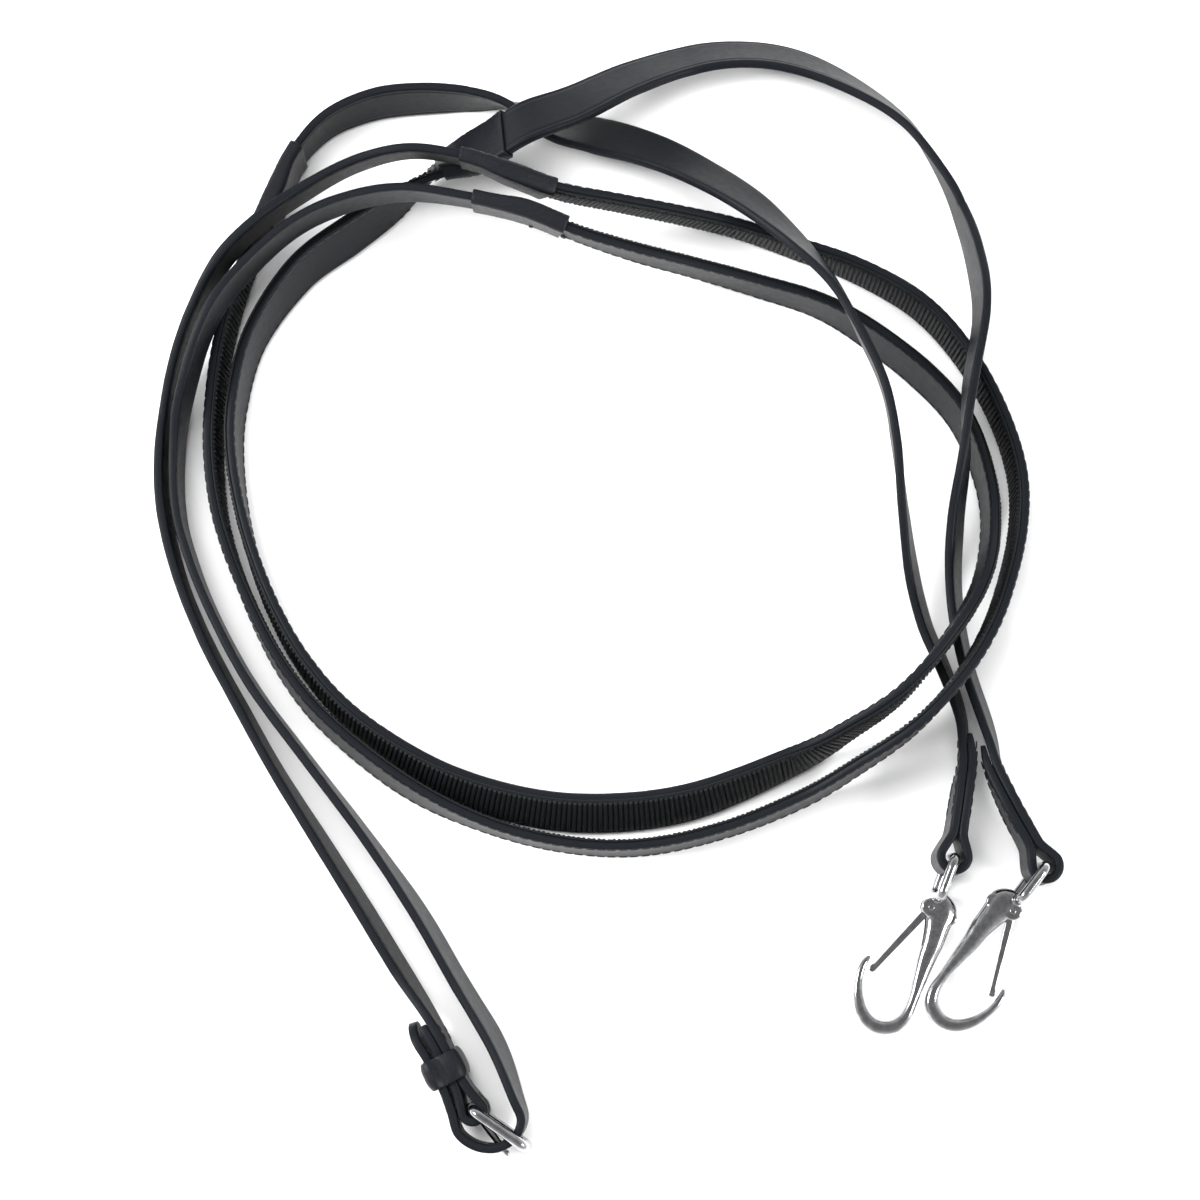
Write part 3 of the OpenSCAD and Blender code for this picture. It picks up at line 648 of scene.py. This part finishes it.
# ---- materials ----
def node(tree, kind, **values):
    n = tree.nodes.new(kind)
    for key, value in values.items():
        if key in n.inputs:
            n.inputs[key].default_value = value
        else:
            setattr(n, key, value)
    return n


def material(name, dark, light, rough, metallic=0.0, spots=1500.0, stretch=(1, 1, 1), bump=0.2,
             depth=0.0001, coarse=250.0, coarse_bump=0.0, specular=0.5, sheen=0.0, mapped="UV"):
    """A procedural surface: two close colours mottled by noise, varied roughness and a fine and a coarse
    bump. On the steel the mottle is painted reflection.
    """
    mat = bpy.data.materials.new(name)
    mat.use_nodes = True
    tree = mat.node_tree
    shader = tree.nodes["Principled BSDF"]
    shader.inputs["Metallic"].default_value = metallic
    shader.inputs["Specular IOR Level"].default_value = specular
    shader.inputs["Sheen Weight"].default_value = sheen
    where = node(tree, "ShaderNodeTexCoord")
    place = node(tree, "ShaderNodeMapping", Scale=stretch)
    tree.links.new(where.outputs[mapped], place.inputs["Vector"])
    fine = node(tree, "ShaderNodeTexNoise", Scale=spots, Detail=6.0, Roughness=0.6)
    broad = node(tree, "ShaderNodeTexNoise", Scale=coarse, Detail=3.0)
    for n in (fine, broad):
        tree.links.new(place.outputs["Vector"], n.inputs["Vector"])
    tone = node(tree, "ShaderNodeValToRGB")
    tone.color_ramp.elements[0].position = 0.35
    tone.color_ramp.elements[1].position = 0.72
    tone.color_ramp.elements[0].color = (*dark, 1)
    tone.color_ramp.elements[1].color = (*light, 1)
    tree.links.new(fine.outputs["Fac"], tone.inputs["Fac"])
    tree.links.new(tone.outputs["Color"], shader.inputs["Base Color"])
    polish = node(tree, "ShaderNodeMapRange")
    polish.inputs["To Min"].default_value = rough[0]
    polish.inputs["To Max"].default_value = rough[1]
    tree.links.new(broad.outputs["Fac"], polish.inputs["Value"])
    tree.links.new(polish.outputs["Result"], shader.inputs["Roughness"])
    first = node(tree, "ShaderNodeBump", Strength=bump, Distance=depth)
    tree.links.new(fine.outputs["Fac"], first.inputs["Height"])
    last = first
    if coarse_bump:
        second = node(tree, "ShaderNodeBump", Strength=coarse_bump, Distance=depth * 4)
        tree.links.new(broad.outputs["Fac"], second.inputs["Height"])
        tree.links.new(first.outputs["Normal"], second.inputs["Normal"])
        last = second
    tree.links.new(last.outputs["Normal"], shader.inputs["Normal"])
    return mat


GRAIN_MAT = material("strap_grain", (0.0038, 0.0045, 0.0062), (0.0080, 0.0093, 0.0122), (0.38, 0.54),
                     spots=2200.0, bump=0.22, coarse=420.0, coarse_bump=0.10, specular=0.14)
FLESH_MAT = material("strap_flesh", (0.0040, 0.0040, 0.0042), (0.0120, 0.0116, 0.0118), (0.65, 0.85),
                     spots=1700.0, stretch=(0.6, 1, 1), bump=0.45, coarse=600.0, coarse_bump=0.2,
                     specular=0.10)
# Strap edges: the edge finish is real, but their blue-grey tone, lighter than the faces, is partly painted
# light, standing in for the light and sheen caught by the upward-facing edges.
EDGE_MAT = material("strap_edge", (0.0090, 0.0108, 0.0145), (0.0185, 0.0220, 0.0290), (0.42, 0.60),
                    spots=1400.0, stretch=(0.25, 1, 1), bump=0.35, coarse=300.0, coarse_bump=0.15,
                    specular=0.14)
SLEEVE_MAT = material("sleeve_leather", (0.0045, 0.0050, 0.0068), (0.0100, 0.0106, 0.0140), (0.36, 0.54),
                      spots=2000.0, bump=0.3, coarse=500.0, coarse_bump=0.25, specular=0.2)
RUBBER_MAT = material("grip_rubber", (0.0070, 0.0086, 0.0094), (0.0145, 0.0168, 0.0180), (0.46, 0.64),
                      spots=2500.0, bump=0.2, coarse=700.0, specular=0.2)
THREAD_MAT = material("waxed_thread", (0.003, 0.003, 0.0035), (0.010, 0.010, 0.0115), (0.45, 0.7),
                      spots=4000.0, bump=0.4, coarse=900.0, mapped="Object")
# Steel: the noise mottle between the two greys is painted reflection, dark streaks standing in for the
# surroundings mirrored in polished steel.
STEEL_MAT = material("bright_steel", (0.36, 0.36, 0.372), (0.52, 0.52, 0.53), (0.10, 0.20), metallic=1.0,
                     spots=500.0, bump=0.015, coarse=160.0, coarse_bump=0.06, mapped="Object")
STRAP_MATS = (GRAIN_MAT, FLESH_MAT, EDGE_MAT)


def dress(obj, mats, body, slot, *nodes):
    """Gives a piece its materials and the body it rides on, and hides the CAD nodes it stands for."""
    obj.name = obj.name.split(".")[0] + "_look"
    obj.data.materials.clear()
    for mat in mats:
        obj.data.materials.append(mat)
    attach(obj, body)
    if nodes:
        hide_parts(*nodes)
    return obj


# ---- the reins ----
def build_half(word, route, splices, front, rear, side, grain, fold):
    """Everything sewn on one half; side is the side of the fold, grain that of the rubber."""
    out = {}
    seed = 1.7 if word == "right" else 4.3
    bit = looped_start(route, fold, splices[0], side)
    grip_run = run_of(route, splices[0] + SPLICE_GAP, splices[1])
    out["bit_path"] = bit
    out["grip_path"] = grip_run
    out["bit"] = dress(leather(word + "_bit_strap", bit, PLAIN_T, grain, seed, skive=0.007),
                       STRAP_MATS, "reins", "strap_leather", word + "_bit_strap")
    out["grip"] = dress(leather(word + "_grip_strap", grip_run, GRIP_T, grain, seed + 1, creases=False),
                        STRAP_MATS, "reins", "strap_leather", word + "_grip_strap")
    lined = run_of(route, front[1] - RUBBER_IN, rear[0] + RUBBER_IN)
    out["rubber"] = dress(rubber(word + "_grip_rubber", lined, grain, seed),
                          (RUBBER_MAT,), "reins", "grip_rubber", word + "_grip_rubber")
    seam = seam_frames(route, front[1] + 0.05, rear[0] - 0.05, 0.0032)
    rows = []
    for w in (-LINING_ROW, LINING_ROW):
        rows.append((seam, -grain * (GRIP_T + 0.00003), w, 0.0026, STITCH_R, 0.0002))
        rows.append((seam, grain * (GRIP_T + RUBBER_BASE), w * 1.03, 0.0026, 0.00026, 0.0002))
    if word == "right":
        # two knots of thread end stand out beside the rear sleeve
        rows.append((frames(route, rear[0] - 0.07), GRIP_T + 0.0004, -0.0048, 0.0018, 0.0007, 0.001))
        rows.append((frames(route, rear[0] + 0.5), PLAIN_T + 0.0011, -0.0052, 0.0014, 0.0006, -0.0008))
    out["grip_thread"] = dress(threads(word + "_grip_stitching", rows),
                               (THREAD_MAT,), "reins", "thread", word + "_grip_stitching")
    # two rows through the doubled end, seen on both faces
    sewn = seam_frames(route, 0.25, fold - 0.15, 0.0031)
    rows = []
    for w in (-END_ROW, END_ROW):
        rows.append((sewn, side * (PLAIN_T + FOLD_OFF + STITCH_LIFT), w, 0.0025, STITCH_R, 0.0002))
        rows.append((sewn, -side * (PLAIN_T + STITCH_LIFT), w, 0.0025, STITCH_R, 0.0002))
    out["end_thread"] = dress(threads(word + "_hook_stitching", rows),
                              (THREAD_MAT,), "reins", "thread", word + "_hook_stitching")
    for place, span, plain_first in (("front", front, True), ("rear", rear, False)):
        name = word + "_" + place + "_sleeve"
        wrap = sleeve(name, route, span, grain, plain_first, seed + span[0])
        out[place] = dress(wrap, (SLEEVE_MAT,), "reins", "sleeve_leather", name)
    return out


def hook_matrix(pos, direction, side):
    flip = Matrix.Diagonal((1, side, 1, 1))
    return (Matrix.Translation(Vector(pos)) @ Matrix.Rotation(math.radians(direction), 4, "Z")
            @ Matrix.Rotation(math.radians(HOOK_TILT), 4, "Y") @ flip)


def placed(obj, matrix):
    obj.data.transform(matrix)
    if matrix.determinant() < 0:
        obj.data.flip_normals()
    return obj


def curl_solid():
    table = CURL * MM
    s = np.linspace(0, len(table) - 1, 110)
    rows = catmull(table, s)
    run = unit(np.gradient(rows[:, :2], axis=0))
    count = 32
    verts = []
    for i, (x, y, w, t) in enumerate(rows):
        for j in range(count):
            a = 2 * math.pi * j / count
            c = math.copysign(abs(math.cos(a)) ** 0.85, math.cos(a)) * w
            verts.append((x - run[i, 1] * c, y + run[i, 0] * c,
                          math.copysign(abs(math.sin(a)) ** 0.85, math.sin(a)) * t))
    n = len(rows)
    faces = []
    for i in range(n - 1):
        for j in range(count):
            k = (j + 1) % count
            faces.append((i * count + j, i * count + k, (i + 1) * count + k, (i + 1) * count + j))
    faces.append(tuple(range(count)))
    faces.append(tuple((n - 1) * count + j for j in range(count)))
    return mesh_object("curl", verts, faces)


def box_solid(name, x0, x1, y0, y1, z0, z1):
    return plate(name, [(x0, y0), (x1, y0), (x1, y1), (x0, y1)], z0, z1)


def melted(obj, voxel, smooth):
    """Fuses overlapping solids into one skin with soft inner corners, as in a cast piece."""
    mod = obj.modifiers.new("fuse", "REMESH")
    mod.mode = "VOXEL"
    mod.voxel_size = voxel
    bake_modifiers(obj)
    mod = obj.modifiers.new("ease", "SMOOTH")
    mod.factor = 0.5
    mod.iterations = smooth
    bake_modifiers(obj)
    obj.data.shade_smooth()
    return obj


def build_hook(word, pos, direction, side):
    matrix = hook_matrix(pos, direction, side)
    body = word + "_hook"
    eye = tube("eye", rounded_loop(0, EYE_LEN, -EYE_H, EYE_H, 0.0024), EYE_D / 2 - 0.00002, closed=True)
    knuckle = drum("knuckle", GATE_PIVOT, KNUCKLE[0], -KNUCKLE[1], KNUCKLE[1], 0.0006)
    ear = drum("ear", EAR_PLACE, EAR[0], -EAR[1], EAR[1], 0.0005)
    solid = join(word + "_hook_body", [eye, curl_solid(), knuckle, ear])
    solid = melted(solid, 0.0002, 10)
    cut(solid, box_solid("slot", 0.0136, 0.0266, -0.0022, 0.0062, -0.00135, 0.00135))
    dress(placed(solid, matrix), (STEEL_MAT,), body, "bright_steel", word + "_hook_body")

    pin = drum(word + "_hook_pin", GATE_PIVOT, PIN[0], -PIN[1], PIN[1], 0.0002, 32)
    dress(placed(pin, matrix), (STEEL_MAT,), body, "bright_steel", word + "_hook_pin")

    leaf = [(0.0176 + 0.008 * k / 12, -0.00215 + 0.00012 * math.sin(math.pi * k / 12)) for k in range(13)]
    leaf += [(x, y + 0.00024) for x, y in leaf[::-1]]
    spring = plate(word + "_hook_spring", leaf, -0.001, 0.001, 0.00005)
    dress(placed(spring, matrix), (STEEL_MAT,), body, "bright_steel", word + "_hook_spring")

    # the gate, with a small nib at its tip that closes on the hook's nose
    turn = Matrix.Translation((GATE_PIVOT[0], GATE_PIVOT[1], 0)) @ Matrix.Rotation(
        math.radians(GATE_DIR), 4, "Z")
    ring = [(0.0017 * math.cos(math.radians(a)), 0.0017 * math.sin(math.radians(a)))
            for a in range(40, 321, 10)]
    arm = [(0.004, -0.00105), (0.012, -0.00098), (0.0215, -0.00088), (0.0243, -0.0009),
           (GATE_LEN - 0.0003, -0.0007), (GATE_LEN, 0), (GATE_LEN - 0.0002, 0.0007),
           (0.0246, 0.00105), (0.0236, 0.00108), (0.0229, 0.0007), (0.0215, 0.00072), (0.012, 0.00092),
           (0.004, 0.00105)]
    gate = plate(word + "_hook_gate", ring + arm, -GATE_HALF_T, GATE_HALF_T, 0.00022)
    bore = drum("bore", (0, 0), GATE_BORE_R, -TOOL_REACH, TOOL_REACH, 0, 32)
    cut(gate, bore)
    gate.data.transform(turn)
    dress(placed(gate, matrix), (STEEL_MAT,), word + "_gate", "bright_steel", word + "_hook_gate")


def build_buckle(hinge):
    """Frame and prong on the hinge bar."""
    place = Matrix.Translation(Vector(hinge)) @ Matrix.Rotation(math.radians(BUCKLE_DIR), 4, "Z")
    loop = rounded_loop(0, FRAME_LEN, -BAR_H, BAR_H, 0.0026)
    ring = tube("buckle_frame", loop, EYE_D / 2 - 0.00001, sides=20, closed=True)
    dress(placed(ring, place), (STEEL_MAT,), "buckle_frame", "bright_steel", "buckle_frame")

    place = Matrix.Translation(Vector(hinge)) @ Matrix.Rotation(math.radians(PRONG_DIR), 4, "Z")
    reach = np.linspace(0, 1, 24)
    x = 0.0019 + (PRONG_LEN - 0.0019) * reach
    points = np.stack([x, np.zeros(24), np.zeros(24)], 1)
    radius = PRONG_D / 2 * (1 - 0.25 * reach**2) * np.sqrt(np.clip(1.02 - reach**24, 0.02, 1))
    rod = tube("rod", points, radius, sides=16)
    eye = drum("prong_eye", (0, 0), PRONG_EYE_R, -PRONG_D / 2, PRONG_D / 2, 0.0003)
    prong = join("buckle_prong", [rod, eye])
    prong = melted(prong, 0.00016, 3)
    bore = drum("prong_bore", (0, 0), PRONG_BORE_R, -TOOL_REACH, TOOL_REACH, 0, 40)
    cut(prong, bore)
    dress(placed(prong, place), (STEEL_MAT,), "buckle_prong", "bright_steel", "buckle_prong")


def build_keeper():
    """The fixed loop that holds the billet, drawn in between the strap's two layers and the billet."""
    f = frames(LEFT, KEEPER_AT)
    n = 21
    x = np.linspace(-KEEPER_HALF_L, KEEPER_HALF_L, n)
    path = Path(f.mid + f.run * x[:, None], np.repeat(f.thick, n, 0), np.repeat(f.wide, n, 0),
                np.repeat(f.run, n, 0))
    b0 = -PLAIN_T - 2 * FOLD_OFF - 0.0012
    b1 = PLAIN_T + 0.00015
    inner = resample(box_outline(b0, b1, HALF_W + 0.0005, 0.0005), KEEPER_POINTS)
    outer = resample(box_outline(b0 - KEEPER_T, b1 + KEEPER_T, HALF_W + 0.0020, 0.0028), KEEPER_POINTS)
    waist = PLAIN_T + FOLD_OFF + 0.0001
    rings_in = np.repeat(inner[None], n, 0)
    rings_out = np.repeat(outer[None], n, 0)
    # drawn in between the billet and the layers beside it, above and below
    pinch = np.exp(-((rings_out[..., 0] + waist) / 0.0013) ** 2) * (np.abs(rings_out[..., 1]) > HALF_W)
    rings_out[..., 1] -= np.sign(rings_out[..., 1]) * pinch * 0.0012
    edge = 1 - 0.45 * np.abs(x / KEEPER_HALF_L)[:, None, None] ** 3
    rings_out = rings_in + (rings_out - rings_in) * edge
    return dress(shell("buckle_keeper", path, rings_in, rings_out),
                 (SLEEVE_MAT,), "reins", "sleeve_leather", "buckle_keeper")


def frame_tool(obj, f):
    """Puts a tool drawn with z through the strap's thickness into the frame f."""
    m = Matrix.Identity(4)
    for row in range(3):
        m[row][0] = f.run[0][row]
        m[row][1] = f.wide[0][row]
        m[row][2] = f.thick[0][row]
        m[row][3] = f.mid[0][row]
    obj.data.transform(m)
    return obj


def build_hand_straps(hinge):
    slot_place = Matrix.Translation(Vector(hinge)) @ Matrix.Rotation(math.radians(PRONG_DIR), 4, "Z")
    billet_path = run_of(RIGHT, R_SPLICES[1] + SPLICE_GAP, R_END, 0.0008)
    billet = leather("right_hand_strap", billet_path, PLAIN_T, -1, 2.9, tip=0.008)
    for s in BILLET_HOLES:
        punch = drum("punch", (0, 0), BILLET_HOLE_R, -0.004, 0.004, 0, 28)
        cut(billet, frame_tool(punch, frames(RIGHT, s)))
    slot = box_solid("billet_slot", 0.008, 0.020, -0.0026, 0.0026, -0.0018, 0.0018)
    cut(billet, placed(slot, slot_place))
    dress(billet, STRAP_MATS, "reins", "strap_leather", "right_hand_strap")

    path = looped_end(LEFT, L_SPLICES[1] + SPLICE_GAP, B_FOLD, -1)
    strap = leather("left_hand_strap", path, PLAIN_T, 1, 5.8)
    slot = box_solid("prong_slot", -0.003, 0.008, -0.0045, 0.0045, -0.0021, 0.0021)
    cut(strap, placed(slot, slot_place), crossing=True)
    dress(strap, STRAP_MATS, "reins", "strap_leather", "left_hand_strap")

    sewn = seam_frames(LEFT, L_END - 1.0, L_END - 0.55, 0.0026)
    rows = []
    for w in (-END_ROW, END_ROW):
        rows.append((sewn, -(PLAIN_T + FOLD_OFF + STITCH_LIFT), w, 0.0021, STITCH_R, 0.0002))
        rows.append((sewn, PLAIN_T + STITCH_LIFT, w, 0.0021, STITCH_R, 0.0002))
    thread = threads("buckle_stitching", rows)
    dress(thread, (THREAD_MAT,), "reins", "thread", "buckle_stitching")
    return billet, billet_path, strap, path


# ---- stage ----
# softboxes: name, place, size, watts, and whether polished steel shows them
LAMPS = (("top_box", (-0.35, 0.25, 1.1), 1.0, 24, False), ("left_box", (-1.2, 0.1, 0.9), 0.5, 20, True),
         ("right_box", (1.1, -0.5, 0.9), 0.35, 13, True))


def build_stage():
    world = bpy.data.worlds.new("studio")
    bpy.context.scene.world = world
    world.use_nodes = True
    # bright near the floor and dim overhead, so that polished steel shows both
    tree = world.node_tree
    sky = tree.nodes["Background"]
    sky.inputs["Color"].default_value = (1, 1, 1, 1)
    where = node(tree, "ShaderNodeTexCoord")
    part = node(tree, "ShaderNodeSeparateXYZ")
    fade = node(tree, "ShaderNodeMapRange")
    for key, value in (("From Min", 0.25), ("From Max", 0.95), ("To Min", 0.9), ("To Max", 0.28)):
        fade.inputs[key].default_value = value
    tree.links.new(where.outputs["Generated"], part.inputs["Vector"])
    tree.links.new(part.outputs["Z"], fade.inputs["Value"])
    tree.links.new(fade.outputs["Result"], sky.inputs["Strength"])
    bpy.ops.mesh.primitive_plane_add(size=24, location=(0, 0, -0.0001))
    floor = bpy.context.object
    floor.name = "floor"
    mat = bpy.data.materials.new("white_floor")
    mat.use_nodes = True
    shader = mat.node_tree.nodes["Principled BSDF"]
    shader.inputs["Base Color"].default_value = (0.93, 0.93, 0.93, 1)
    shader.inputs["Roughness"].default_value = 0.9
    floor.data.materials.append(mat)
    for name, spot, size, power, shows in LAMPS:
        light = bpy.data.lights.new(name, "AREA")
        light.shape = "SQUARE"
        light.size = size
        light.energy = power
        lamp = bpy.data.objects.new(name, light)
        lamp.location = spot
        lamp.visible_glossy = shows
        lamp.rotation_euler = (Vector((0, 0, 0)) - Vector(spot)).to_track_quat("-Z", "Y").to_euler()
        bpy.context.scene.collection.objects.link(lamp)


def build_camera():
    cam = bpy.data.cameras.new("camera")
    cam.lens = CAMERA_LENS
    cam.sensor_width = 36
    obj = bpy.data.objects.new("camera", cam)
    bpy.context.scene.collection.objects.link(obj)
    target = Vector((0, -ORIGIN_Y, 0))
    tilt = math.radians(CAMERA_TILT)
    obj.location = target + Vector((0, -math.cos(tilt), math.sin(tilt))) * CAMERA_DISTANCE
    obj.rotation_euler = (target - obj.location).to_track_quat("-Z", "Y").to_euler()
    bpy.context.scene.camera = obj


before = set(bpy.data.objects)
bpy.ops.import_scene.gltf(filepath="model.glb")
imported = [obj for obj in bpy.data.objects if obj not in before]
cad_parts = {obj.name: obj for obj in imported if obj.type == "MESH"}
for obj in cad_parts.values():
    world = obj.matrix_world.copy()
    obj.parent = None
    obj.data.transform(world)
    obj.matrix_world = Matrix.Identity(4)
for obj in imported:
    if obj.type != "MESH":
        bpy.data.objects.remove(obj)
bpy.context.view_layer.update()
build_stage()
build_camera()

right = build_half("right", RIGHT, R_SPLICES, R_FRONT, R_REAR, 1, -1, R_FOLD)
left = build_half("left", LEFT, L_SPLICES, L_FRONT, L_REAR, -1, 1, L_FOLD)
start = frames(RIGHT, 0)
build_hook("right", bar_at(start, -start.run[0], 1), RIGHT_DIR, 1)
start = frames(LEFT, 0)
build_hook("left", bar_at(start, -start.run[0], -1), LEFT_DIR, -1)
end = frames(LEFT, L_END)
hinge = bar_at(end, end.run[0], -1)
build_buckle(hinge)
keeper = build_keeper()
billet, billet_path, buckle_strap, buckle_path = build_hand_straps(hinge)

scene = bpy.context.scene
scene.view_settings.view_transform = "Standard"
scene.view_settings.look = "None"
